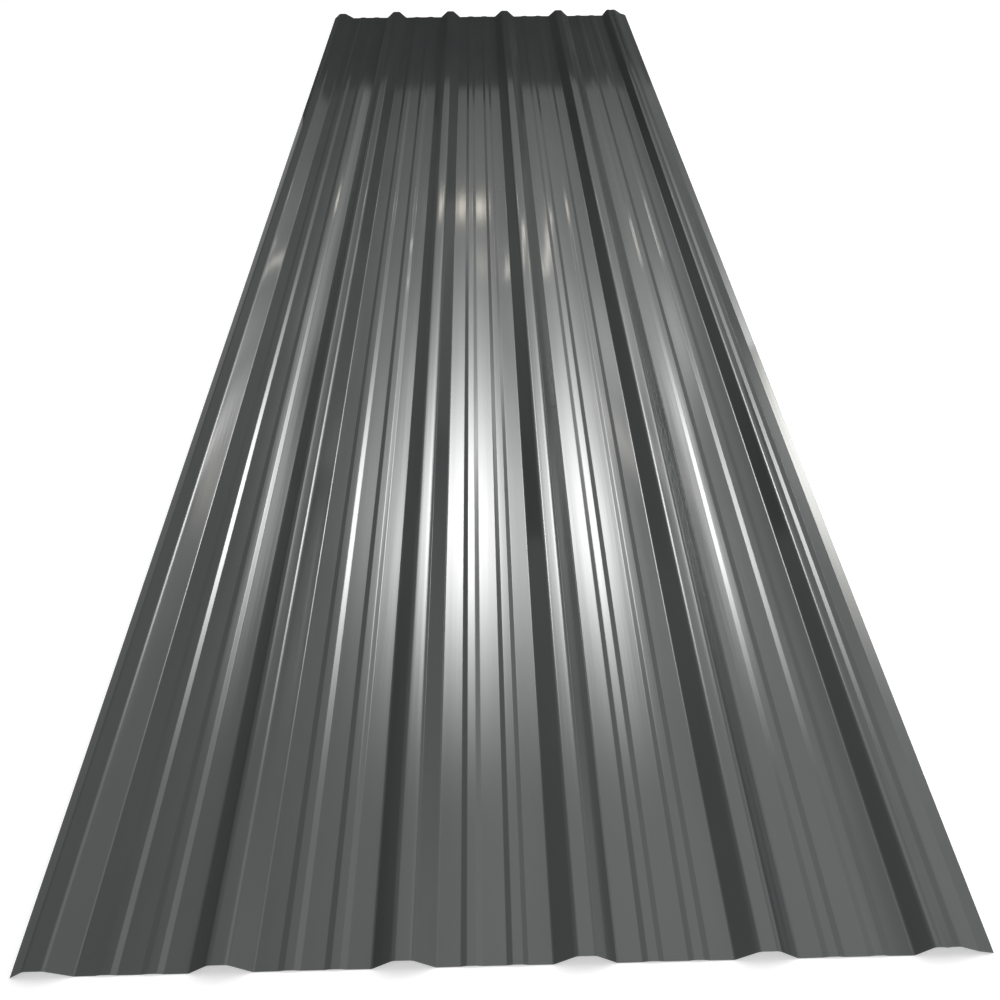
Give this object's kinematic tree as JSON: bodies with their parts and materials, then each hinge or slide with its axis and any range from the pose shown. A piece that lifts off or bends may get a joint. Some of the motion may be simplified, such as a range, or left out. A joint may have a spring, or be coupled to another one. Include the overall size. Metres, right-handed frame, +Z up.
{
  "type": "trapezoidal corrugated metal sheet",
  "caption": "Long roll-formed steel cladding sheet with trapezoidal ribs, stiffened flat pans and a low underlap rib that nests under the overlap rib of its neighbour.",
  "frame": {"origin": "centre of the sheet's footprint, on the plane that its pans rest on", "axes": "+Y along the ribs, +Z up, ribs upward, +X across the sheet from the underlap rib to the overlap rib"},
  "size_m": [1.109, 3.5, 0.0215],
  "materials": {
    "painted_steel": "semi-gloss dark grey coil coating"
  },
  "bodies": {
    "root": {"corrugated_sheet": "painted_steel"}
  },
  "joints": []
}
